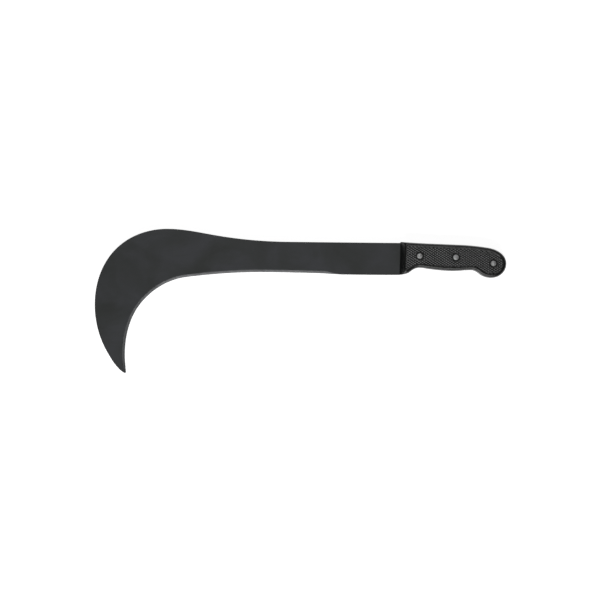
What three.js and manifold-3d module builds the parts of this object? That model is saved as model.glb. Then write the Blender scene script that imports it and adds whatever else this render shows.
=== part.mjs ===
// Hand sickle of the machete family: a hooked steel plate with a full tang, held between two moulded
// grip scales by three rivets with burr washers.
//
// Millimetres. The tool lies flat: X runs from the hook to the pommel, Y from the cutting side to the
// spine, and Z is the thickness. The origin is under the middle of the whole outline, level with the
// lower face of the grip. Nothing on the tool moves: the rivets hold it as one rigid piece.

import * as THREE from "three";
import { mergeVertices } from "three/addons/utils/BufferGeometryUtils.js";
import Module from "manifold-3d";

const wasm = await Module();
wasm.setup();

// ---------- driving dimensions ----------

const HALF_LENGTH = 259; // hook back to pommel end is twice this
const HALF_HEIGHT = 90.9; // crown of the spine to the point of the hook is twice this

const PLATE_THICKNESS = 2; // blade and tang are one plate
const BEVEL_WIDTH = 2.6; // ground band along the cutting edge, on each side
const EDGE_LAND = 0.3; // plate thickness left at the cutting edge
const BEVEL_FADE = 24; // length over which the grind runs out at the handle end
const TIP_FADE = 9; // and at the point

const GRIP_THICKNESS = 23; // over both scales
const SEAM_CLEARANCE = 0.05; // between the tang and each scale
const TANG_INSET = 0.8; // the tang's edge lies this far inside the scales' edge
const RIM_WIDTH = 4; // rounded margin of a scale, across
const RIM_DEPTH = 4.5; // and through its thickness
const RIM_STEPS = 4; // facets of the rounded margin
const FRONT_LEAN = 1.7; // degrees that the grip's front end leans from square
const FRONT_FOOT = 3.5; // the front end is upright up to this height over the tang's middle
const FRONT_SLOPE = 5.1; // and then slopes back this far
const FRONT_ROUND = 0.8; // to a rounded edge
const FRONT_ALLOWANCE = 12; // extra length a scale is made with before its front end is cut

const RIVET_RADIUS = 2;
const RIVET_HOLE_RADIUS = 2.2;
const HEAD_RADIUS = 3.7; // made head, on the back scale
const HEAD_THICKNESS = 1.2;
const PEEN_RADIUS = 2.7; // hammered end, on the front scale
const PEEN_HEIGHT = 0.7;
const BURR_RADIUS = 3.4; // washer under the hammered end
const BURR_THICKNESS = 0.8;
const POCKET_RADIUS = 5; // counterbore round each rivet end
const POCKET_DEPTH = 1.9;
const SEAT_CLEARANCE = 0.05; // under a head, a burr and a hammered end
const ROUND_SEGMENTS = 24; // facets of every round piece and hole

const FACET_SAG = 0.05; // outline facets stay this close to the true curve

const MID_PLANE = GRIP_THICKNESS / 2;
const HALF_PLATE = PLATE_THICKNESS / 2;
const POCKET_FLOOR = MID_PLANE - POCKET_DEPTH;

// Each rivet's place on the grip.
const RIVETS = {
  guard: [149.8, 56.4],
  middle: [195.3, 54.8],
  pommel: [242.4, 47.1],
};

// ---------- outlines ----------

// An outline is a chain of knots, each a place and a heading in degrees. It runs anticlockwise as seen
// from +Z, so the material is on its left.
const SPINE_AND_BACK = [
  [125, 73.05, 179.4], // spine where the grip begins
  [-15, 74.5, 179.4], // end of the straight spine
  [-108, 83, 170],
  [-167.4, HALF_HEIGHT, 180], // crown
  [-232.4, 65.5, 225],
  [-HALF_LENGTH, -4.5, 270], // furthest point of the hook
  [-244, -63, 299.5],
  [-222.6, -90.2, 326],
  [-221, -HALF_HEIGHT, 0], // lowest point of the hook
  [-219.7, -89.2, 93],
];
const CUTTING_EDGE = [
  [-219.7, -89.2, 93], // point
  [-221.1, -68, 90],
  [-198.6, 0, 48.5], // middle of the hook's bay
  [-144.2, 30, 7.4],
  [-48, 36.4, 0], // edge runs straight from here
  [22, 35, -1],
  [52, 33.3, -1], // grind has run out
];
const UNGROUND_EDGE = [
  [52, 33.3, -1],
  [125, 32.7, 0],
];
const GRIP = [
  [125, 32.9, 4], // lower front corner
  [138.3, 36.8, 39],
  [149.9, 41.7, 0], // finger groove
  [164.2, 39.9, -7],
  [193.2, 37.7, 0], // belly
  [215, 38.8, 0], // notch before the pommel
  [225.7, 33.9, -38.5],
  [240.3, 29, 0], // beak of the pommel
  [HALF_LENGTH, 46.8, 90], // end of the pommel
  [236, 66.9, 171],
  [205, 70.3, 177.3],
  [126.2, 74.2, 175.7], // upper front corner
];

const degrees = THREE.MathUtils.degToRad;

// Angle from heading a to heading b, in radians, never over half a turn.
function turnBetween(a, b) {
  const turn = THREE.MathUtils.euclideanModulo(b - a + Math.PI, 2 * Math.PI) - Math.PI;
  return Math.abs(turn);
}

// The curve from one knot to the next, a circular arc wherever the two headings fit one.
function curveBetween([x0, y0, heading0], [x1, y1, heading1]) {
  const start = new THREE.Vector2(x0, y0);
  const end = new THREE.Vector2(x1, y1);
  const chord = end.clone().sub(start);
  const [out, into] = [degrees(heading0), degrees(heading1)];
  const turn = Math.max(turnBetween(out, into), 1e-3);
  const reach = (chord.length() * 2 * Math.tan(turn / 4)) / (3 * Math.sin(turn / 2));
  const step = (heading, length) =>
    new THREE.Vector2(Math.cos(heading), Math.sin(heading)).multiplyScalar(length);
  const curve = new THREE.CubicBezierCurve(
    start,
    start.clone().add(step(out, reach)),
    end.clone().add(step(into, -reach)),
    end,
  );
  const bend = turnBetween(out, chord.angle()) + turnBetween(chord.angle(), into);
  const facets = Math.max(1, Math.ceil(Math.sqrt((chord.length() * bend) / (8 * FACET_SAG))));
  return curve.getPoints(facets);
}

// Every facet corner along a chain of knots.
function trace(knots) {
  const points = [new THREE.Vector2(knots[0][0], knots[0][1])];
  for (let i = 1; i < knots.length; i += 1) {
    points.push(...curveBetween(knots[i - 1], knots[i]).slice(1));
  }
  return points;
}

// A knot further along the same straight heading.
function onward([x, y, heading], distance) {
  const angle = degrees(heading);
  return [x + distance * Math.cos(angle), y + distance * Math.sin(angle), heading];
}

// A closed outline moved inwards, by insets[i] at point i.
function inset(outline, insets) {
  const count = outline.length;
  const inward = (from, to) => new THREE.Vector2(from.y - to.y, to.x - from.x).normalize();
  return outline.map((point, i) => {
    const before = inward(outline[(i + count - 1) % count], point);
    const after = inward(point, outline[(i + 1) % count]);
    const mitre = before.clone().add(after).divideScalar(1 + before.dot(after));
    return point.clone().addScaledVector(mitre, insets[i]);
  });
}

const evenly = (outline, distance) => inset(outline, outline.map(() => distance));

// ---------- solids ----------

// One closed body through a stack of outlines with equal numbers of points, lowest level first.
function stack(levels) {
  const count = levels[0].outline.length;
  const position = levels.flatMap(({ outline, z }) => outline.flatMap((p) => [p.x, p.y, z]));
  const index = [];
  for (let level = 0; level + 1 < levels.length; level += 1) {
    for (let i = 0; i < count; i += 1) {
      const a = level * count + i;
      const b = level * count + ((i + 1) % count);
      index.push(a, b, b + count, a, b + count, a + count);
    }
  }
  const lid = (level) => THREE.ShapeUtils.triangulateShape(levels[level].outline, []);
  const top = levels.length - 1;
  for (const [a, b, c] of lid(0)) index.push(c, b, a);
  for (const corners of lid(top)) index.push(...corners.map((i) => i + top * count));
  const geometry = new THREE.BufferGeometry();
  geometry.setAttribute("position", new THREE.Float32BufferAttribute(position, 3));
  geometry.setIndex(index);
  return geometry;
}

// A round bar along Z between two heights, centred on a rivet's place.
function bar([x, y], radius, low, high) {
  const geometry = new THREE.CylinderGeometry(radius, radius, high - low, ROUND_SEGMENTS);
  geometry.rotateX(Math.PI / 2);
  geometry.translate(x, y, (low + high) / 2);
  return geometry;
}

// A piece turned about its rivet's axis, from a profile of radius and height pairs.
function turned([x, y], profile) {
  const points = profile.map(([radius, height]) => new THREE.Vector2(radius, height));
  const geometry = new THREE.LatheGeometry(points, ROUND_SEGMENTS);
  geometry.rotateX(Math.PI / 2);
  geometry.translate(x, y, 0);
  return geometry;
}

function toManifold(geometry) {
  const bare = geometry.clone();
  bare.deleteAttribute("normal");
  bare.deleteAttribute("uv");
  const merged = mergeVertices(bare, 1e-4);
  return new wasm.Manifold(
    new wasm.Mesh({
      numProp: 3,
      vertProperties: merged.getAttribute("position").array,
      triVerts: new Uint32Array(merged.getIndex().array),
    }),
  );
}

function toGeometry(manifold) {
  const { vertProperties, triVerts } = manifold.getMesh();
  const geometry = new THREE.BufferGeometry();
  geometry.setAttribute("position", new THREE.BufferAttribute(vertProperties, 3));
  geometry.setIndex(new THREE.BufferAttribute(triVerts, 1));
  return geometry;
}

// The geometry with every cutter taken out of it.
function cut(geometry, cutters) {
  let remaining = toManifold(geometry);
  for (const cutter of cutters) remaining = remaining.subtract(toManifold(cutter));
  return toGeometry(remaining);
}

// ---------- pieces, modelled about the mid-plane of the plate ----------

// How wide the ground band is at each point of the cutting edge.
function bevelWidths(edge) {
  const along = [0];
  for (let i = 1; i < edge.length; i += 1) along.push(along[i - 1] + edge[i].distanceTo(edge[i - 1]));
  const length = along.at(-1);
  return along.map((s) => {
    const fromTip = THREE.MathUtils.smoothstep(s, 0, TIP_FADE);
    const fromEnd = THREE.MathUtils.smoothstep(length - s, 0, BEVEL_FADE);
    return BEVEL_WIDTH * Math.min(fromTip, fromEnd);
  });
}

// Blade and tang in one plate, with the cutting edge ground from both sides.
function bladeGeometry() {
  const tang = evenly(trace(GRIP), TANG_INSET);
  const back = trace(SPINE_AND_BACK).slice(0, -1);
  const edge = trace(CUTTING_EDGE);
  const unground = trace(UNGROUND_EDGE).slice(1);
  const outline = [...back, ...edge, ...unground, ...tang];
  const insets = [
    ...back.map(() => 0),
    ...bevelWidths(edge),
    ...[...unground, ...tang].map(() => 0),
  ];
  const ground = inset(outline, insets);
  const plate = stack([
    { outline: ground, z: -HALF_PLATE },
    { outline, z: -EDGE_LAND / 2 },
    { outline, z: EDGE_LAND / 2 },
    { outline: ground, z: HALF_PLATE },
  ]);
  const holes = Object.values(RIVETS).map((place) =>
    bar(place, RIVET_HOLE_RADIUS, -PLATE_THICKNESS, PLATE_THICKNESS),
  );
  return cut(plate, holes);
}

// What is taken off an overlong scale to leave its front end, which slopes back from the blade.
function frontCutter() {
  const [frontX, frontY] = GRIP[0];
  const past = 2 * FRONT_ALLOWANCE;
  const crest = FRONT_SLOPE + FRONT_ROUND;
  const profile = new THREE.Shape();
  profile.moveTo(0, 0);
  profile.lineTo(0, FRONT_FOOT);
  profile.lineTo(FRONT_SLOPE, MID_PLANE - FRONT_ROUND);
  profile.absellipse(crest, MID_PLANE - FRONT_ROUND, FRONT_ROUND, FRONT_ROUND, Math.PI, Math.PI / 2, true);
  profile.lineTo(crest, MID_PLANE + 1);
  profile.lineTo(-past, MID_PLANE + 1);
  profile.lineTo(-past, 0);
  const length = GRIP.at(-1)[1] - frontY + 2 * past;
  const geometry = new THREE.ExtrudeGeometry(profile, {
    depth: length,
    bevelEnabled: false,
    curveSegments: RIM_STEPS,
  });
  geometry.rotateX(Math.PI / 2);
  geometry.translate(0, length - past, 0);
  geometry.rotateZ(-degrees(FRONT_LEAN));
  geometry.translate(frontX, frontY, 0);
  return geometry;
}

// One grip scale, on the +Z side of the tang: flat inside, with a rounded margin outside, and a hole
// and a pocket for each rivet.
function scaleGeometry() {
  const overlong = [
    onward(GRIP[0], -FRONT_ALLOWANCE),
    ...GRIP,
    onward(GRIP.at(-1), FRONT_ALLOWANCE),
  ];
  const outline = trace(overlong);
  const levels = [{ outline, z: HALF_PLATE + SEAM_CLEARANCE }];
  for (let step = 0; step <= RIM_STEPS; step += 1) {
    const angle = ((Math.PI / 2) * step) / RIM_STEPS;
    levels.push({
      outline: evenly(outline, RIM_WIDTH * (1 - Math.cos(angle))),
      z: MID_PLANE - RIM_DEPTH * (1 - Math.sin(angle)),
    });
  }
  const cutters = Object.values(RIVETS).flatMap((place) => [
    bar(place, RIVET_HOLE_RADIUS, 0, MID_PLANE + 1),
    bar(place, POCKET_RADIUS, POCKET_FLOOR, MID_PLANE + 1),
  ]);
  return cut(stack(levels), [frontCutter(), ...cutters]);
}

// The same scale turned over onto the -Z side.
function mirrored(geometry) {
  const copy = geometry.clone().scale(1, 1, -1);
  const { array } = copy.getIndex();
  for (let i = 0; i < array.length; i += 3) [array[i], array[i + 1]] = [array[i + 1], array[i]];
  return copy;
}

// Made head in the back pocket, shank through both scales and the tang, hammered end over the burr.
function rivetGeometry(place) {
  const headTop = -POCKET_FLOOR - SEAT_CLEARANCE;
  const headBottom = headTop - HEAD_THICKNESS;
  const peenBase = POCKET_FLOOR + BURR_THICKNESS + 2 * SEAT_CLEARANCE;
  const peenTop = peenBase + PEEN_HEIGHT;
  return turned(place, [
    [0, headBottom],
    [HEAD_RADIUS * 0.7, headBottom],
    [HEAD_RADIUS, headBottom + HEAD_THICKNESS / 2],
    [HEAD_RADIUS, headTop],
    [RIVET_RADIUS, headTop],
    [RIVET_RADIUS, peenBase],
    [PEEN_RADIUS, peenBase],
    [PEEN_RADIUS * 0.9, peenBase + PEEN_HEIGHT / 2],
    [PEEN_RADIUS * 0.5, peenTop],
    [0, peenTop],
  ]);
}

// Flat washer between the front scale and the rivet's hammered end.
function burrGeometry(place) {
  const low = POCKET_FLOOR + SEAT_CLEARANCE;
  const high = low + BURR_THICKNESS;
  return turned(place, [
    [RIVET_HOLE_RADIUS, low],
    [BURR_RADIUS, low],
    [BURR_RADIUS, high],
    [RIVET_HOLE_RADIUS, high],
    [RIVET_HOLE_RADIUS, low],
  ]);
}

// ---------- assembly ----------

const lacqueredSteel = () =>
  new THREE.MeshStandardMaterial({ color: 0x37393a, roughness: 0.45, metalness: 0.3 });
const mouldedPlastic = () =>
  new THREE.MeshStandardMaterial({ color: 0x1c1d1d, roughness: 0.4, metalness: 0 });
const rivetAluminium = () =>
  new THREE.MeshStandardMaterial({ color: 0xa6a8a8, roughness: 0.4, metalness: 1 });

function piece(name, geometry, material) {
  const mesh = new THREE.Mesh(geometry, material);
  mesh.name = name;
  return mesh;
}

const sickle = new THREE.Group();
sickle.position.z = MID_PLANE;
sickle.add(piece("blade", bladeGeometry(), lacqueredSteel()));

const scale = scaleGeometry();
sickle.add(piece("scale_front", scale, mouldedPlastic()));
sickle.add(piece("scale_back", mirrored(scale), mouldedPlastic()));

for (const [where, place] of Object.entries(RIVETS)) {
  sickle.add(piece(`rivet_${where}`, rivetGeometry(place), rivetAluminium()));
  sickle.add(piece(`burr_${where}`, burrGeometry(place), rivetAluminium()));
}

export default sickle;
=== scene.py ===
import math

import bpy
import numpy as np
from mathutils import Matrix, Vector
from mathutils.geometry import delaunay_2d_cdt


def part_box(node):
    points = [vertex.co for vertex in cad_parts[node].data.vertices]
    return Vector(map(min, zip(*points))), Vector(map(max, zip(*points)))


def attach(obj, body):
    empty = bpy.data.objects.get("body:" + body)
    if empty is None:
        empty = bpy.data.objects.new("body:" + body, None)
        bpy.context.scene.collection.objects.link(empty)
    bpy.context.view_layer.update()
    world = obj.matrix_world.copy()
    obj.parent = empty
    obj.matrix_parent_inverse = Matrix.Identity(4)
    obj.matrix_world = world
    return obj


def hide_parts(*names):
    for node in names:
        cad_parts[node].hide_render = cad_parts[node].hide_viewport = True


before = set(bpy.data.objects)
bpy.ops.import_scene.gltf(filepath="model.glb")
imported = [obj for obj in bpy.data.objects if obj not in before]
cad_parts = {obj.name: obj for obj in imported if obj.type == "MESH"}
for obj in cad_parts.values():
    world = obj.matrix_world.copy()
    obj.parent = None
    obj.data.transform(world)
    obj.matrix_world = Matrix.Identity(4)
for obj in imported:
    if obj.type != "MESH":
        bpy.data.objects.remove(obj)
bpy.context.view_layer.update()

# The finished look of a hand sickle of the machete family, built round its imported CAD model.
#
# Every shape is worked out in millimetres from the CAD solids: their outlines are read back, smoothed
# and given the detail that the solids leave out, which is the ground edge, the moulded rims and
# chequering of the grip, and the hammered rivets. Heights are over the plate's mid-plane, except where
# a CAD node is asked for. The pieces are handed to Blender in metres, in the CAD's own frame.

MM = 0.001
TOUCH = 0.005  # millimetres: places closer than this are one
SHARP_EDGE = 28  # degrees between two faces from which the edge between them is sharp
INSIDE_ONLY = 1  # the triangulation's way of leaving out whatever is outside the edges

# ---------- sizes read from the frame, in millimetres ----------

blade_low, blade_high = (np.array(corner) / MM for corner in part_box("blade"))
back_low, _ = (np.array(corner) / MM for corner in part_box("scale_back"))
front_low, front_high = (np.array(corner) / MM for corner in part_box("scale_front"))

MID = (back_low[2] + front_high[2]) / 2  # height of the plate's mid-plane
HALF_PLATE = (blade_high[2] - blade_low[2]) / 2
SEAM = front_low[2] - MID  # inner face of a scale
PANEL = front_high[2] - MID  # outer face of a scale
RIVETS = ("guard", "middle", "pommel")

# ---------- sizes of the detail, in millimetres ----------

OUTLINE_STEP = 0.7  # spacing of the corners along a fine outline
CORNER_TURN = 40  # degrees: a sharper turn than this is a corner, not a curve
ROUND_FACETS = 48  # of a pocket, a hole or a rivet

SPINE_ROUND = 0.25  # softened edge of the plate where it isn't ground
SOFT_MIDDLE = 0.3  # how far in, in radii, the middle of a softened edge lies
LAND = 0.14  # half the thickness left at the cutting edge
BEVEL_BULGE = 0.02  # how far the ground bevel stands out at its middle
GROUND_SPREAD = 1.2  # the ground band's width over the solid's
SUPPORT = 0.5  # ring of flat surface kept beside a softened edge
LEAST_GRIND = 0.02  # share of the full grind below which the edge isn't ground at all
BARE_GRIND = 0.04  # and above which its steel is bare
BEVEL_RINGS = 3  # rows of faces, from the edge in, that the grind bares

FRONT_FILLET = 0.5  # radius of the grip's front corners
FILLET_STEPS = 4
FRONT_FOOT = 3.5  # a scale's front end is upright up to this height
FRONT_EXTRA = 2.25  # the rim is this much wider at the front end
CREST = 0.35  # flat top of the rim
RIM_ROUND = 3.7  # rounded shoulder of the grip, across
RIM_DROP = 5.4  # and down
SHOULDER_STEPS = 9
SEAM_ROUND = 0.2  # softened edge where a scale meets the tang
CORNER_EASE = 3.5  # reach of the rounding at the rim's front corners
EASE_STEPS = 7
GROOVE_DEPTH = 0.25  # of the groove between the rim and the chequering

# The front end's slope, as its height and how far it has gone back by there.
FRONT_SLOPE = (
    (FRONT_FOOT, 0),
    (PANEL - 1.1, 4.75),
    (PANEL - 0.5, 5.25),
    (PANEL - 0.15, 5.65),
    (PANEL, RIM_ROUND + FRONT_EXTRA),
)

# The wall of the groove, as distance in from the crest and height.
GROOVE_WALL = (
    (0, PANEL),
    (0.15, PANEL - 0.1),
    (0.45, PANEL - GROOVE_DEPTH),
    (0.6, PANEL - GROOVE_DEPTH),
)

CHEQUER_TOP = 0.25  # the pyramids' tops lie this far below the rim
CHEQUER_DEPTH = 0.6
CHEQUER_PITCH = 2.5  # between neighbouring grooves
CHEQUER_ANGLE = math.radians(33)  # between each set of grooves and the grip's length
CHEQUER_FLAT = 0.09  # half-width of a pyramid's top, in pitches
EDGE_STEP = 0.12  # width of the wall where the chequering is cut off
COLLAR_WIDTH = 0.3  # plain ring round each pocket
PYRAMID_TOP = PANEL - CHEQUER_TOP
PYRAMID_FOOT = PYRAMID_TOP - CHEQUER_DEPTH

SEAT = 0.05  # clearance under a rivet's head, a burr and a hammered end
SHANK_RADIUS = 2.0
HEAD_EDGE = 0.35  # upright edge of the made head
PEEN_RADIUS = 2.7  # of the hammered end
PEEN_EDGE = 0.1  # upright edge of the hammered end
PEEN_SPARED = 0.2  # height over the burr up to which the blows leave the hammered end alone
BURR_HOLE = 2.2
BURR_SOFT = 0.12  # softened edges of a burr
DOME_STEPS = 12
BLOWS = 6  # of the hammer, on each rivet
BLOW_TURN = 2.4  # radians from each blow to the next, round the rivet
BLOW_DEPTH = 0.1
BLOW_SLOPE = 0.16
BLOW_START = 0.5  # distance out at which the first blow reaches its depth
BLOW_STEP = 0.15  # and how much further out each later blow does

# ---------- the stage, in metres and degrees ----------

VIEW_WIDTH = 0.756  # across the picture, in the plane of the blade
VIEW_CENTRE = (-0.0004, 0.0012)
CAMERA_HEIGHT = 2.6
CAMERA_RANGE = 20
SENSOR = 36.0  # millimetres
FLOOR_HEIGHT = -0.0002
FLOOR_SIDE = 6.0  # half the floor's width
FLOOR_GLOW = 0.80
ROOM_LIGHT = 0.02
WALL_BRIGHTNESS = 0.9
LIGHT_DISTANCE = 2.2
# Each light's name, azimuth and elevation, width and height, and power in watts.
LIGHTS = (
    ("low_left", 240, 30, (0.9, 0.6), 11),
    ("low_front", 270, 28, (1.2, 0.5), 7),
    ("high_front", 268, 54, (1.4, 0.5), 14),
    ("high_rear", 90, 60, (1.4, 0.6), 9),
    ("top", 0, 84, (1.4, 1.4), 1.5),
)


# ---------- outlines ----------


def solid(node):
    """A CAD node's corners, merged and in millimetres, and its triangles."""
    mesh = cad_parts[node].data
    mesh.calc_loop_triangles()
    places = np.array([v.co for v in mesh.vertices]) / MM
    corners, merged = np.unique(np.round(places, 3), axis=0, return_inverse=True)
    triangles = merged.reshape(-1)[[list(t.vertices) for t in mesh.loop_triangles]]
    return corners, triangles


def twice_area(loop):
    x, y = loop[:, 0], loop[:, 1]
    return float(np.sum(x * np.roll(y, -1) - np.roll(x, -1) * y))


def outlines_at(node, height):
    """The closed outlines of a CAD node at one height, each anticlockwise, the largest first."""
    corners, triangles = solid(node)
    level = np.abs(corners[:, 2] - height) < TOUCH
    lids = {}
    for triangle in triangles:
        lid = int(level[triangle].all())
        for a, b in zip(triangle, np.roll(triangle, -1)):
            if level[a] and level[b]:
                edge = (min(a, b), max(a, b))
                lids[edge] = lids.get(edge, 0) + lid
    neighbours = {}
    for (a, b), count in lids.items():
        if count != 2:
            neighbours.setdefault(a, []).append(b)
            neighbours.setdefault(b, []).append(a)
    loops = []
    while neighbours:
        start = min(neighbours)
        chain, here = [start], neighbours[start][0]
        while here != start:
            chain.append(here)
            here = next(n for n in neighbours[here] if n != chain[-2])
        for corner in chain:
            del neighbours[corner]
        loop = corners[chain][:, :2]
        loops.append(loop if twice_area(loop) > 0 else loop[::-1])
    return sorted(loops, key=twice_area, reverse=True)


def unit(vectors):
    return vectors / np.linalg.norm(vectors, axis=-1, keepdims=True)


def turns(loop):
    """How far, in degrees, the outline turns at each corner."""
    ahead = np.roll(loop, -1, 0) - loop
    angle = np.degrees(np.arctan2(ahead[:, 1], ahead[:, 0]))
    return (angle - np.roll(angle, 1) + 180) % 360 - 180


def is_corner(loop):
    return np.abs(turns(loop)) > CORNER_TURN


def bend(start, corner, end, steps):
    """Places along the curve that leaves for a corner at its start and arrives from it at its end."""
    return [
        (1 - t) ** 2 * start + 2 * t * (1 - t) * corner + t**2 * end for t in np.linspace(0, 1, steps)
    ]


def smoothed(loop):
    """A fine outline through the corners of a faceted one, sharp only where that has a real corner."""
    ahead = np.roll(loop, -1, 0) - loop
    length = np.linalg.norm(ahead, axis=1)
    heading = ahead / length[:, None]
    tangent = unit(ahead + np.roll(ahead, 1, 0))
    sharp = is_corner(loop)
    fine = []
    for i in range(len(loop)):
        j = (i + 1) % len(loop)
        start, end = loop[i], loop[j]
        leave = heading[i] if sharp[i] else tangent[i]
        arrive = heading[i] if sharp[j] else tangent[j]
        pieces = max(1, round(length[i] / OUTLINE_STEP))
        for t in np.arange(pieces) / pieces:
            fine.append(
                (2 * t**3 - 3 * t**2 + 1) * start
                + (t**3 - 2 * t**2 + t) * length[i] * leave
                + (3 * t**2 - 2 * t**3) * end
                + (t**3 - t**2) * length[i] * arrive
            )
    return np.array(fine)


def with_round_corners(loop, radius):
    """The outline with each sharp corner replaced by a small arc."""
    turn = turns(loop)
    rounded = []
    for i in range(len(loop)):
        if abs(turn[i]) < CORNER_TURN:
            rounded.append(loop[i])
            continue
        reach = radius * math.tan(math.radians(abs(turn[i])) / 2)
        start = loop[i] + unit(loop[i - 1] - loop[i]) * reach
        end = loop[i] + unit(loop[(i + 1) % len(loop)] - loop[i]) * reach
        rounded.extend(bend(start, loop[i], end, FILLET_STEPS))
    return np.array(rounded)


def circle(centre, radius):
    angle = np.arange(ROUND_FACETS) * 2 * math.pi / ROUND_FACETS
    return np.array(centre[:2]) + radius * np.stack([np.cos(angle), np.sin(angle)], 1)


def inward(loop):
    """At each corner, the direction in which the outline shrinks evenly by one."""
    ahead = unit(np.roll(loop, -1, 0) - loop)
    normal = np.stack([-ahead[:, 1], ahead[:, 0]], 1)
    before = np.roll(normal, 1, 0)
    return (normal + before) / (1 + np.sum(normal * before, 1))[:, None]


def distance_to(points, loop):
    """Distance from each point to the nearest place on an outline."""
    nearest = np.full(len(points), np.inf)
    for start, step in zip(loop, np.roll(loop, -1, 0) - loop):
        along = np.clip((points - start) @ step / (step @ step), 0, 1)
        gap = np.linalg.norm(points - (start + along[:, None] * step), axis=1)
        nearest = np.minimum(nearest, gap)
    return nearest


def shrunk(loop, distance):
    """The outline moved inwards, without the loops that a plain offset makes at its corners."""
    moved = loop + inward(loop) * distance
    return moved[distance_to(moved, loop) > distance - 2 * TOUCH]


def without_repeats(loop):
    gap = np.linalg.norm(loop - np.roll(loop, 1, 0), axis=1)
    return loop[gap > 4 * TOUCH]


def eased(loop, reach):
    """The loop with each sharp corner, and what is nearer to it than the reach, made into a curve."""
    first = np.nonzero(is_corner(loop))[0][0]
    loop = np.roll(loop, -first - len(loop) // 3, 0)  # keeps the corners away from the list's ends
    rounded, done = [], 0
    for corner in np.nonzero(is_corner(loop))[0]:
        far = np.linalg.norm(loop - loop[corner], axis=1) >= reach
        before = next(i for i in range(corner, -1, -1) if far[i])
        after = next(i for i in range(corner, len(loop)) if far[i])
        start = loop[corner] + unit(loop[before] - loop[corner]) * reach
        end = loop[corner] + unit(loop[after] - loop[corner]) * reach
        rounded.extend(loop[done : before + 1])
        rounded.extend(bend(start, loop[corner], end, EASE_STEPS))
        done = after
    return without_repeats(np.array([*rounded, *loop[done:]]))


def contains(loop, points):
    """Whether each point is inside the outline."""
    x, y = points[:, 0], points[:, 1]
    inside = np.zeros(len(points), bool)
    for (x0, y0), (x1, y1) in zip(loop, np.roll(loop, -1, 0)):
        if y0 == y1:
            continue
        crosses = (y0 > y) != (y1 > y)
        inside ^= crosses & (x < (x1 - x0) * (y - y0) / (y1 - y0) + x0)
    return inside


def at_height(loop, height):
    return np.column_stack([loop, np.full(len(loop), height)])


# ---------- meshes ----------


class Shape:
    """Corners and faces about the plate's mid-plane, welded into one piece at the end."""

    def __init__(self):
        self.corners, self.faces, self.slots = [], [], []

    def add(self, corners, faces):
        first = len(self.corners)
        self.corners.extend(corners)
        self.faces.extend([first + i for i in face] for face in faces)
        self.slots.extend([0] * len(faces))

    def wall(self, lower, upper, slots=None):
        """A strip between two closed loops with the same corners, facing out of an anticlockwise one."""
        count = len(lower)
        ring = [[i, (i + 1) % count, count + (i + 1) % count, count + i] for i in range(count)]
        first = len(self.slots)
        self.add([*lower, *upper], ring)
        if slots is not None:
            self.slots[first:] = slots

    def ribbon(self, lower, upper):
        """A strip of triangles between two loops whose corners needn't match, by the shortest way."""
        start = int(np.linalg.norm(upper[:, :2] - lower[0, :2], axis=1).argmin())
        upper = np.roll(upper, -start, 0)
        below, above = len(lower), len(upper)
        strip, i, j = [], 0, 0
        while i < below or j < above:
            here, there = i % below, j % above
            ahead, beyond = (i + 1) % below, (j + 1) % above
            across_from_ahead = np.linalg.norm(lower[ahead, :2] - upper[there, :2])
            across_to_beyond = np.linalg.norm(lower[here, :2] - upper[beyond, :2])
            if j == above or (i < below and across_from_ahead < across_to_beyond):
                strip.append((here, ahead, below + there))
                i += 1
            else:
                strip.append((here, below + beyond, below + there))
                j += 1
        self.add([*lower, *upper], strip)

    def piece(self, name, materials, node, slot, mirrored=False):
        """Makes the object, which stands for a CAD node."""
        corners = np.array(self.corners)
        _, kept, merged = np.unique(
            np.round(corners / TOUCH).astype(int), axis=0, return_index=True, return_inverse=True
        )
        merged = merged.reshape(-1)
        corners = corners[kept]
        if mirrored:
            corners[:, 2] *= -1
        corners[:, 2] += MID
        faces, slots = [], []
        for face, face_slot in zip(self.faces, self.slots):
            ring = [int(merged[i]) for i in face]
            ring = [a for a, b in zip(ring, ring[1:] + ring[:1]) if a != b]
            if len(ring) > 2:
                faces.append(ring[::-1] if mirrored else ring)
                slots.append(face_slot)
        mesh = bpy.data.meshes.new(name)
        mesh.from_pydata((corners * MM).tolist(), [], faces)
        mesh.polygons.foreach_set("material_index", slots)
        for material in materials:
            mesh.materials.append(material)
        mesh.validate()
        mesh.shade_smooth()
        mesh.set_sharp_from_angle(angle=math.radians(SHARP_EDGE))
        made = bpy.data.objects.new(name, mesh)
        bpy.context.scene.collection.objects.link(made)
        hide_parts(node)
        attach(made, "root")
        return made


def filled(loops, holes=(), creases=None, height=None):
    """A surface inside the first loop and outside the holes, with an edge along every loop and crease.

    Loops carry their own heights. Every other corner takes its height from the given function."""
    rings = [*loops, *holes]
    given = np.concatenate(rings)
    edges = []
    for ring in rings:
        first = edges[-1][0] + 1 if edges else 0
        edges.extend((first + i, first + (i + 1) % len(ring)) for i in range(len(ring)))
    flat = given[:, :2]
    if creases is not None:
        first = len(flat)
        flat = np.concatenate([flat, creases.reshape(-1, 2)])
        edges.extend((first + 2 * i, first + 2 * i + 1) for i in range(len(creases)))
    points, _, triangles, sources, _, _ = delaunay_2d_cdt(
        [Vector(p) for p in flat], edges, [], INSIDE_ONLY, TOUCH / 10
    )
    corners = np.zeros((len(points), 3))
    for i, (point, source) in enumerate(zip(points, sources)):
        own = [s for s in source if s < len(given)]
        corners[i] = given[own[0]] if own else [*point, height(np.array(point))]
    middle = np.array([corners[list(t), :2].mean(0) for t in triangles])
    kept = np.ones(len(triangles), bool)
    for hole in holes:
        kept &= ~contains(hole[:, :2], middle)
    return corners, [list(triangle) for triangle, keep in zip(triangles, kept) if keep]


def add_mesh_value(made, name, values):
    """Gives each corner of a piece a number that its material reads."""
    attribute = made.data.attributes.new(name, "FLOAT", "POINT")
    attribute.data.foreach_set("value", values.astype(np.float32))


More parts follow.
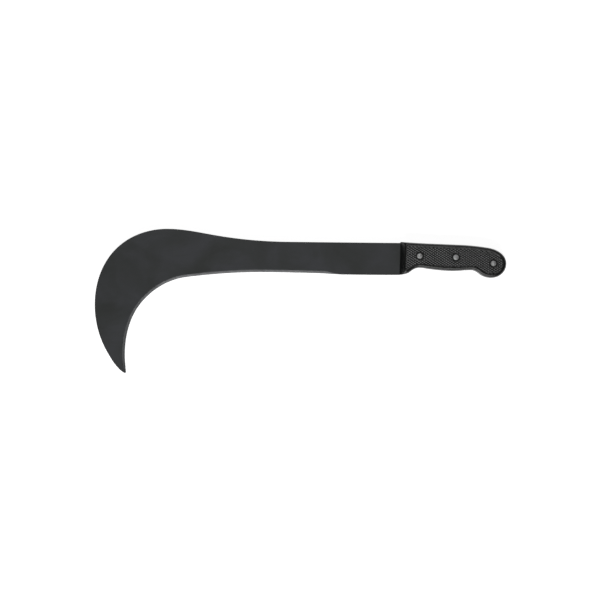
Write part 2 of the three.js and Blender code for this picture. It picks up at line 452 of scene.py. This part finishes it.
def places_in(made):
    return np.array([v.co for v in made.data.vertices]) / MM


# ---------- materials ----------


class Surface:
    """A procedural material with one principled shader, in the object's own coordinates."""

    def __init__(self, name, **constants):
        self.material = bpy.data.materials.new(name)
        self.material.use_nodes = True
        self.nodes = self.material.node_tree.nodes
        self.links = self.material.node_tree.links
        self.shader = self.nodes["Principled BSDF"]
        for socket, value in constants.items():
            self.shader.inputs[socket.replace("_", " ")].default_value = value
        self.place = self.nodes.new("ShaderNodeTexCoord").outputs["Object"]

    def node(self, kind, **settings):
        made = self.nodes.new("ShaderNode" + kind)
        for key, value in settings.items():
            if hasattr(made, key):
                setattr(made, key, value)
            else:
                made.inputs[key].default_value = value
        return made

    def stretched(self, x, y, z):
        """The object's coordinates scaled along each axis, which draws a pattern out along the least."""
        mapping = self.node("Mapping")
        mapping.inputs["Scale"].default_value = (x, y, z)
        self.links.new(self.place, mapping.inputs["Vector"])
        return mapping.outputs["Vector"]

    def noise(self, size, detail=3.0, roughness=0.5, place=None, distortion=0.0):
        """Noise whose features are about so many millimetres across."""
        made = self.node("TexNoise", Scale=1 / (size * MM), Detail=detail, Roughness=roughness)
        made.inputs["Distortion"].default_value = distortion
        self.links.new(place or self.place, made.inputs["Vector"])
        return made.outputs["Fac"]

    def spread(self, value, low, high, to_low, to_high):
        """The value's range low to high stretched to another range."""
        made = self.node("MapRange", clamp=True)
        for socket, number in zip(made.inputs[1:5], (low, high, to_low, to_high)):
            socket.default_value = number
        self.links.new(value, made.inputs[0])
        return made.outputs[0]

    def blend(self, share, first, second):
        """A colour between two, each a colour or another node's output."""
        made = self.node("Mix", data_type="RGBA")
        for socket, colour in ((made.inputs[6], first), (made.inputs[7], second)):
            if isinstance(colour, tuple):
                socket.default_value = (*colour, 1)
            else:
                self.links.new(colour, socket)
        self.links.new(share, made.inputs[0])
        return made.outputs[2]

    def math(self, operation, a, b):
        made = self.node("Math", operation=operation)
        for socket, value in zip(made.inputs, (a, b)):
            if isinstance(value, (int, float)):
                socket.default_value = value
            else:
                self.links.new(value, socket)
        return made.outputs[0]

    def mesh_value(self, name):
        return self.node("Attribute", attribute_name=name).outputs["Fac"]

    def bump(self, height, depth, under=None):
        """Relief of so many millimetres, laid over another relief."""
        made = self.node("Bump", Distance=depth * MM, Strength=1.0)
        self.links.new(height, made.inputs["Height"])
        if under is not None:
            self.links.new(under, made.inputs["Normal"])
        return made.outputs["Normal"]

    def set(self, **sources):
        for socket, source in sources.items():
            self.links.new(source, self.shader.inputs[socket.replace("_", " ")])
        return self.material


def lacquer():
    """Satin black lacquer on rolled plate: cloudy, drawn out along the blade, thinner at its edges."""
    surface = Surface("black_lacquer", Metallic=0.0, IOR=1.5)
    clouds = surface.noise(46, detail=4, roughness=0.55, distortion=0.4)
    rolled = surface.noise(9, detail=4, place=surface.stretched(0.16, 1, 1))
    fine = surface.noise(0.9, detail=2)
    cloudy = surface.spread(clouds, 0.38, 0.62, 0, 1)
    base = surface.blend(cloudy, (0.0290, 0.0320, 0.0308), (0.0425, 0.0450, 0.0500))
    base = surface.blend(surface.spread(rolled, 0.45, 0.65, 0, 0.5), base, (0.0300, 0.0330, 0.0325))
    scuffs = surface.spread(surface.noise(2.2, detail=5, roughness=0.7), 0.42, 0.62, 0.1, 1)
    worn = surface.math("MULTIPLY", surface.mesh_value("wear"), scuffs)
    base = surface.blend(surface.math("MULTIPLY", worn, 0.55), base, (0.12, 0.12, 0.118))
    gloss = surface.spread(surface.math("ADD", clouds, rolled), 0.7, 1.3, 0.40, 0.50)
    relief = surface.bump(fine, 0.012)
    relief = surface.bump(rolled, 0.05, under=relief)
    return surface.set(Base_Color=base, Roughness=gloss, Normal=relief)


def ground_steel():
    """The ground band: dull grey steel with grinding lines across it."""
    surface = Surface("ground_steel", Metallic=0.75, IOR=1.5)
    lines = surface.noise(0.35, detail=3, place=surface.stretched(1, 0.35, 1))
    patches = surface.spread(surface.noise(7, detail=4), 0.3, 0.7, 0, 1)
    base = surface.blend(patches, (0.135, 0.138, 0.142), (0.200, 0.203, 0.208))
    base = surface.blend(surface.spread(lines, 0.35, 0.7, 0, 0.55), base, (0.085, 0.0865, 0.089))
    gloss = surface.spread(lines, 0.3, 0.7, 0.42, 0.6)
    return surface.set(Base_Color=base, Roughness=gloss, Normal=surface.bump(lines, 0.02))


def grip_plastic():
    """Black moulded plastic with a faint grain. The tips of the chequering are painted lighter grey,
    partly as rubbed wear and partly as a painted highlight.
    """
    surface = Surface("grip_plastic", Metallic=0.0, IOR=1.5)
    patches = surface.noise(18, detail=3)
    grain = surface.noise(0.28, detail=2)
    patchy = surface.spread(patches, 0.3, 0.7, 0, 1)
    base = surface.blend(patchy, (0.0040, 0.0043, 0.0042), (0.0064, 0.0067, 0.0066))
    # Lighter grey on the chequering's tips: partly rubbed wear, partly a painted highlight for the light
    # the tips catch.
    tips = surface.spread(surface.mesh_value("raised"), 0.5, 1, 0, 1)
    tip_wear_and_highlight = surface.math("MULTIPLY", tips, surface.spread(patches, 0.3, 0.7, 0.75, 1))
    base = surface.blend(tip_wear_and_highlight, base, (0.082, 0.085, 0.084))
    gloss = surface.spread(grain, 0.3, 0.7, 0.22, 0.32)
    return surface.set(Base_Color=base, Roughness=gloss, Normal=surface.bump(grain, 0.012))


def rivet_aluminium():
    """Dull aluminium, mottled where the hammer has struck."""
    surface = Surface("rivet_aluminium", Metallic=0.85, IOR=1.5)
    mottle = surface.noise(1.1, detail=4, roughness=0.6)
    scratch = surface.noise(0.25, detail=3, place=surface.stretched(1, 0.2, 1))
    mottled = surface.spread(mottle, 0.35, 0.65, 0, 1)
    base = surface.blend(mottled, (0.33, 0.335, 0.335), (0.60, 0.605, 0.605))
    gloss = surface.spread(scratch, 0.3, 0.7, 0.38, 0.55)
    relief = surface.bump(scratch, 0.02)
    relief = surface.bump(mottle, 0.08, under=relief)
    return surface.set(Base_Color=base, Roughness=gloss, Normal=relief)


# ---------- places of the rivets, in millimetres ----------


def rivet_centre(name):
    low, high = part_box("rivet_" + name)
    return np.array((low + high) / 2) / MM


def box_radius(node):
    low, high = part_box(node)
    return (high.x - low.x) / 2 / MM


def box_heights(node):
    """A CAD node's lowest and highest place, over the plate's mid-plane."""
    return [corner.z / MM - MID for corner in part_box(node)]


POCKET_FLOOR = box_heights("burr_middle")[0] - SEAT
pocket_outlines = outlines_at("scale_front", MID + POCKET_FLOOR)
POCKET_RADIUS = np.ptp(pocket_outlines[0][:, 0]) / 2
HOLE_RADIUS = np.ptp(pocket_outlines[-1][:, 0]) / 2
LAND_HEIGHT = float(np.unique(np.round(solid("blade")[0][:, 2], 3))[2])  # of the cutting edge's top

# ---------- blade ----------


def plate_ring(outline, ground, plain, cut):
    """One loop of the plate's side: its inset and height at no grind and at full, shared out along it."""
    inset = plain[0] * (1 - ground) + cut[0] * ground
    height = plain[1] * (1 - ground) + cut[1] * ground
    return np.column_stack([outline + inward(outline) * inset[:, None], height])


def plate_profile(width):
    """Inset and height of each loop on the plate's side, without the grind and with its full width."""
    soft = SOFT_MIDDLE * SPINE_ROUND
    return [
        ((0, 0), (0, 0)),
        ((0, HALF_PLATE - SPINE_ROUND), (0, LAND)),
        ((soft, HALF_PLATE - soft), (width / 2, (HALF_PLATE + LAND) / 2 + BEVEL_BULGE)),
        ((SPINE_ROUND, HALF_PLATE), (width, HALF_PLATE)),
        ((SPINE_ROUND + SUPPORT, HALF_PLATE), (width + SUPPORT, HALF_PLATE)),
    ]


def make_blade(lacquer_material, ground_material):
    outline = smoothed(outlines_at("blade", LAND_HEIGHT)[0])
    ground_line = smoothed(outlines_at("blade", MID + HALF_PLATE)[0])
    band = distance_to(outline, ground_line)
    ground = np.clip(band / band.max(), 0, 1)
    ground[ground < LEAST_GRIND] = 0
    profile = plate_profile(band.max() * GROUND_SPREAD)
    rings = [plate_ring(outline, ground, plain, cut) for plain, cut in profile]
    bare = (np.minimum(ground, np.roll(ground, -1)) > BARE_GRIND).astype(int)
    flip = np.array([1, 1, -1])
    shape = Shape()
    for level, (low, high) in enumerate(zip(rings, rings[1:])):
        slots = bare.tolist() if level < BEVEL_RINGS else None
        shape.wall(low, high, slots)
        shape.wall(high * flip, low * flip, slots)
    rims = [at_height(circle(rivet_centre(name), HOLE_RADIUS), HALF_PLATE) for name in RIVETS]
    corners, faces = filled([rings[-1]], rims)
    shape.add(corners, faces)
    shape.add(corners * flip, [face[::-1] for face in faces])
    for rim in rims:
        shape.wall(rim, rim * flip)
    made = shape.piece("blade_plate", [lacquer_material, ground_material], "blade", "lacquered_steel")
    edge = distance_to(places_in(made)[:, :2], outline)
    add_mesh_value(made, "wear", np.clip(1 - edge / (SPINE_ROUND + SUPPORT), 0, 1))


# ---------- chequering ----------

CHEQUER_ORIGIN = rivet_centre("middle")[:2]
# The two directions across the grooves.
CHEQUER_ACROSS = np.array(
    [
        [-math.sin(CHEQUER_ANGLE), math.cos(CHEQUER_ANGLE)],
        [math.sin(CHEQUER_ANGLE), math.cos(CHEQUER_ANGLE)],
    ]
)


def relief(point):
    """Height of the chequered surface at a point."""
    place = CHEQUER_ACROSS @ (point - CHEQUER_ORIGIN) / CHEQUER_PITCH
    gap = np.abs(place - np.round(place)).min()
    rise = min(1, gap / (0.5 - CHEQUER_FLAT))
    return PYRAMID_TOP - CHEQUER_DEPTH * (1 - rise)


def chequered(loop):
    return np.column_stack([loop, [relief(point) for point in loop]])


def chequer_creases(low, high):
    """Every edge of the pyramids over a rectangle, as pairs of places."""
    to_place = np.linalg.inv(CHEQUER_ACROSS) * CHEQUER_PITCH
    reach = int(np.linalg.norm(high - low) / CHEQUER_PITCH)
    base = np.array([(0, 0), (1, 0), (1, 1), (0, 1)], float)
    top = 0.5 + (base - 0.5) * 2 * CHEQUER_FLAT
    creases = []
    for i in range(-reach, reach):
        for j in range(-reach, reach):
            centre = to_place @ (np.array([i, j]) + 0.5) + CHEQUER_ORIGIN
            if (centre < low - CHEQUER_PITCH).any() or (centre > high + CHEQUER_PITCH).any():
                continue
            floor = (base + (i, j)) @ to_place.T + CHEQUER_ORIGIN
            roof = (top + (i, j)) @ to_place.T + CHEQUER_ORIGIN
            creases += [(floor[0], floor[1]), (floor[0], floor[3])]
            creases += list(zip(floor, roof))
            creases += list(zip(roof, np.roll(roof, -1, 0)))
    return np.array(creases)


def clipped(segments, region, holes):
    """The parts of each segment inside the region and outside the holes."""
    starts, steps = segments[:, 0], segments[:, 1] - segments[:, 0]
    cuts = [[0.0, 1.0] for _ in segments]
    for loop in (region, *holes):
        for here, there in zip(loop, np.roll(loop, -1, 0)):
            side = there - here
            cross = steps[:, 0] * side[1] - steps[:, 1] * side[0]
            gap = here - starts
            with np.errstate(divide="ignore", invalid="ignore"):
                along = (gap[:, 0] * side[1] - gap[:, 1] * side[0]) / cross
                aside = (gap[:, 0] * steps[:, 1] - gap[:, 1] * steps[:, 0]) / cross
            hits = np.nonzero((along > 0) & (along < 1) & (aside >= 0) & (aside <= 1))[0]
            for k in hits:
                cuts[k].append(along[k])
    spans = []
    for start, step, cut in zip(starts, steps, cuts):
        cut = sorted(cut)
        spans += [(start + a * step, start + b * step) for a, b in zip(cut, cut[1:])]
    spans = np.array(spans)
    middle = spans.mean(1)
    long_enough = np.linalg.norm(spans[:, 1] - spans[:, 0], axis=1) > 4 * TOUCH
    kept = long_enough & contains(region, middle)
    for hole in holes:
        kept &= ~contains(hole, middle)
    return spans[kept]


# ---------- grip ----------


def upright_profile():
    """Inset and height of each loop on a scale's side, from the seam up to the foot of its shoulder."""
    soft, seam_top = SOFT_MIDDLE * SEAM_ROUND, SEAM + SEAM_ROUND
    loops = [(SEAM_ROUND, SEAM), (soft, SEAM + soft), (0, seam_top), (0, seam_top + SUPPORT)]
    return loops + [(0, FRONT_FOOT - SUPPORT), (0, FRONT_FOOT), (0, PANEL - RIM_DROP)]


def rim_profile():
    """Inset, height and front inset of each loop from the shoulder over the crest into the groove."""
    loops = []
    for step in range(1, SHOULDER_STEPS + 1):
        angle = math.pi / 2 * step / SHOULDER_STEPS
        height = PANEL - RIM_DROP * (1 - math.sin(angle))
        loops.append((RIM_ROUND * (1 - math.cos(angle)), height, front_slope(height)))
    for past_crest, height in GROOVE_WALL:
        inset = RIM_ROUND + CREST + past_crest
        loops.append((inset, height, inset + FRONT_EXTRA))
    return loops


def front_slope(height):
    """How far the front end of a scale has sloped back at a height."""
    heights, insets = zip(*FRONT_SLOPE)
    return np.interp(height, heights, insets)


def held_back(loop, front, distance):
    """The loop with whatever is nearer than a distance to the front end's line moved in to it."""
    corner, normal = front
    short = np.maximum(0, distance - (loop - corner) @ normal)
    return loop + short[:, None] * normal


def cut_back(loop, front, distance):
    """The loop with whatever is nearer than a distance to the front end's line cut off."""
    corner, normal = front
    depth = (loop - corner) @ normal - distance
    kept = []
    for here, there, a, b in zip(loop, np.roll(loop, -1, 0), depth, np.roll(depth, -1)):
        if a > 0:
            kept.append(here)
        if a * b < 0:
            kept.append(here + (there - here) * a / (a - b))
    return without_repeats(np.array(kept))


def front_end(facets):
    """A place on the line of a scale's front end, and the direction from it into the scale."""
    lower, upper = sorted(facets[is_corner(facets)], key=lambda corner: corner[1])
    along = unit(upper - lower)
    return lower, np.array([along[1], -along[0]])


def scale_sides(outline, front):
    """The matching loops of a scale's upright side, and the nested loops of its rim."""
    walls = []
    for inset, height in upright_profile():
        moved = outline + inward(outline) * inset
        walls.append(at_height(held_back(moved, front, front_slope(height) + inset), height))
    nested = [walls[-1]]
    for inset, height, front_inset in rim_profile():
        loop = cut_back(shrunk(outline, inset), front, front_inset)
        share = 1 - (PANEL - height) / RIM_DROP
        nested.append(at_height(eased(loop, CORNER_EASE * share), height))
    return walls, nested


def chequered_field(outline, front):
    """The outline of the chequering."""
    inset, _, front_inset = rim_profile()[-1]
    side = shrunk(outline, inset + EDGE_STEP)
    return eased(cut_back(side, front, front_inset + EDGE_STEP), CORNER_EASE)


def add_panel(shape, outline, edge, field):
    """The chequered panel inside the rim's last loop, with a plain collar round each pocket's mouth."""
    around = [
        [circle(rivet_centre(name), POCKET_RADIUS + width) for name in RIVETS]
        for width in (COLLAR_WIDTH + EDGE_STEP, COLLAR_WIDTH, 0)
    ]
    rings, collars, mouths = around
    creases = clipped(chequer_creases(outline.min(0), outline.max(0)), field, rings)
    loops = [edge, chequered(field), *map(chequered, rings)]
    loops += [at_height(collar, PYRAMID_FOOT) for collar in collars]
    holes = [at_height(mouth, PYRAMID_FOOT) for mouth in mouths]
    shape.add(*filled(loops, holes, creases, relief))


def add_pocket(shape, name):
    """The pocket round a rivet's end and the hole for its shank."""
    mouth = circle(rivet_centre(name), POCKET_RADIUS)
    bore = circle(rivet_centre(name), HOLE_RADIUS)
    shape.wall(at_height(mouth, PYRAMID_FOOT), at_height(mouth, POCKET_FLOOR))
    shape.wall(at_height(mouth, POCKET_FLOOR), at_height(bore, POCKET_FLOOR))
    shape.wall(at_height(bore, POCKET_FLOOR), at_height(bore, SEAM))


def make_scale(name, node, material, mirrored):
    facets = outlines_at("scale_front", MID + SEAM)[0]
    front = front_end(facets)
    outline = smoothed(with_round_corners(facets, FRONT_FILLET))
    walls, nested = scale_sides(outline, front)
    field = chequered_field(outline, front)
    shape = Shape()
    for low, high in zip(walls, walls[1:]):
        shape.wall(low, high)
    for low, high in zip(nested, nested[1:]):
        shape.ribbon(low, high)
    add_panel(shape, outline, nested[-1], field)
    for rivet in RIVETS:
        add_pocket(shape, rivet)
    bores = [at_height(circle(rivet_centre(rivet), HOLE_RADIUS), SEAM) for rivet in RIVETS]
    corners, faces = filled([walls[0]], bores)
    shape.add(corners, [face[::-1] for face in faces])
    made = shape.piece(name, [material], node, "moulded_plastic", mirrored)
    places = places_in(made)
    # How high each place stands in the chequering. The plastic paints the highest places lighter, partly
    # as wear and partly as a painted highlight.
    raised = np.clip(1 - (PYRAMID_TOP - np.abs(places[:, 2] - MID)) / CHEQUER_DEPTH, 0, 1)
    add_mesh_value(made, "raised", raised * contains(field, places[:, :2]))


# ---------- rivets ----------


def turned_piece(name, node, centre, profile, material, hammered=None):
    """A piece of revolution from radius and height pairs, struck with dents above one height."""
    shape = Shape()
    rings = [at_height(circle(centre, radius), height) for radius, height in profile if radius > 0]
    for low, high in zip(rings, rings[1:]):
        shape.wall(low, high)
    for ring, pole, facing in ((rings[0], profile[0], -1), (rings[-1], profile[-1], 1)):
        if pole[0] == 0:
            cap = [(i, (i + 1) % ROUND_FACETS, ROUND_FACETS)[::facing] for i in range(ROUND_FACETS)]
            shape.add([*ring, np.array([*centre[:2], pole[1]])], cap)
    if hammered is not None:
        for corner in shape.corners:
            if corner[2] > hammered:
                corner[2] = struck(corner, centre, profile[-1][1])
    shape.piece(name, [material], node, "rivet_metal")


def struck(corner, centre, top):
    """The height left at a place on a domed end after a few hammer blows, each a tilted flat."""
    across = corner[:2] - centre[:2]
    height = corner[2]
    for blow in range(BLOWS):
        angle = BLOW_TURN * blow + centre[0]
        facing = np.array([math.cos(angle), math.sin(angle)])
        past = across @ facing - BLOW_START - BLOW_STEP * blow
        height = min(height, top - BLOW_DEPTH - BLOW_SLOPE * past)
    return height


def dome(radius, base, rise):
    """Radius and height pairs over a low dome, from its edge to its middle."""
    angles = np.linspace(0, math.pi / 2, DOME_STEPS)
    return [(radius * math.cos(a), base + rise * math.sin(a)) for a in angles[:-1]] + [(0, base + rise)]


def make_rivet(name, material):
    """The made head in the back scale's pocket, the shank, and the hammered end over the burr."""
    low, high = box_heights("rivet_" + name)
    seat = box_heights("burr_" + name)[1]
    head = box_radius("rivet_" + name)
    head_top, peen_base = -POCKET_FLOOR - SEAT, seat + SEAT
    peen_top = peen_base + PEEN_EDGE
    over = dome(head, head_top + HEAD_EDGE, head_top - low - HEAD_EDGE)
    profile = [(radius, 2 * head_top - height) for radius, height in over[::-1]]
    profile += [(head, head_top), (SHANK_RADIUS, head_top), (SHANK_RADIUS, peen_base)]
    profile += [(PEEN_RADIUS, peen_base), *dome(PEEN_RADIUS, peen_top, high - peen_top)]
    piece, node = f"rivet_{name}_hammered", "rivet_" + name
    turned_piece(piece, node, rivet_centre(name), profile, material, hammered=seat + PEEN_SPARED)


def make_burr(name, material):
    """The washer under a rivet's hammered end."""
    low, high = box_heights("burr_" + name)
    outer = box_radius("burr_" + name)
    ring = [(BURR_HOLE, low), (outer - BURR_SOFT, low), (outer, low + BURR_SOFT)]
    ring += [(outer, high - BURR_SOFT), (outer - BURR_SOFT, high), (BURR_HOLE + BURR_SOFT, high)]
    ring += [(BURR_HOLE, high - BURR_SOFT), (BURR_HOLE, low)]
    turned_piece(f"burr_{name}_washer", "burr_" + name, rivet_centre(name), ring, material)


# ---------- stage ----------


def make_camera():
    data = bpy.data.cameras.new("camera")
    data.sensor_width = SENSOR
    data.lens = SENSOR * CAMERA_HEIGHT / VIEW_WIDTH
    data.clip_end = CAMERA_RANGE
    camera = bpy.data.objects.new("camera", data)
    camera.location = (*VIEW_CENTRE, MID * MM + CAMERA_HEIGHT)
    bpy.context.scene.collection.objects.link(camera)
    bpy.context.scene.camera = camera


def make_floor():
    """A plain white table that glows a little, so that it stays white in shadow."""
    mesh = bpy.data.meshes.new("floor")
    side = FLOOR_SIDE
    corners = [(-side, -side), (side, -side), (side, side), (-side, side)]
    mesh.from_pydata([(x, y, FLOOR_HEIGHT) for x, y in corners], [], [(0, 1, 2, 3)])
    floor = bpy.data.objects.new("floor", mesh)
    bpy.context.scene.collection.objects.link(floor)
    paper = Surface("paper_floor", Roughness=0.9, Emission_Strength=FLOOR_GLOW)
    paper.shader.inputs["Emission Color"].default_value = (1, 1, 1, 1)
    tone = paper.blend(paper.noise(300, detail=2), (0.86, 0.86, 0.86), (0.9, 0.9, 0.9))
    mesh.materials.append(paper.set(Base_Color=tone))


def make_room():
    """A dim room, so that the lights draw the shapes, with a pale wall behind what is seen."""
    world = bpy.data.worlds.new("studio")
    world.use_nodes = True
    nodes, links = world.node_tree.nodes, world.node_tree.links
    background = nodes["Background"]
    background.inputs["Color"].default_value = (1, 1, 1, 1)
    wall = nodes.new("ShaderNodeMapRange")
    wall.inputs["To Min"].default_value = ROOM_LIGHT
    wall.inputs["To Max"].default_value = WALL_BRIGHTNESS
    links.new(nodes.new("ShaderNodeLightPath").outputs["Is Camera Ray"], wall.inputs["Value"])
    links.new(wall.outputs["Result"], background.inputs["Strength"])
    bpy.context.scene.world = world


def make_lights():
    for name, azimuth, elevation, size, power in LIGHTS:
        around, up = math.radians(azimuth), math.radians(elevation)
        flat = LIGHT_DISTANCE * math.cos(up)
        place = (flat * math.cos(around), flat * math.sin(around), LIGHT_DISTANCE * math.sin(up))
        data = bpy.data.lights.new(name, "AREA")
        data.shape = "RECTANGLE"
        data.size, data.size_y = size
        data.energy = power
        light = bpy.data.objects.new(name, data)
        light.location = place
        light.rotation_euler = (-Vector(place)).to_track_quat("-Z", "Y").to_euler()
        bpy.context.scene.collection.objects.link(light)


# ---------- the sickle ----------

make_camera()
make_floor()
make_room()
make_lights()
bpy.context.scene.view_settings.view_transform = "Standard"
make_blade(lacquer(), ground_steel())
plastic = grip_plastic()
make_scale("grip_scale_front", "scale_front", plastic, mirrored=False)
make_scale("grip_scale_back", "scale_back", plastic, mirrored=True)
aluminium = rivet_aluminium()
for rivet in RIVETS:
    make_rivet(rivet, aluminium)
    make_burr(rivet, aluminium)
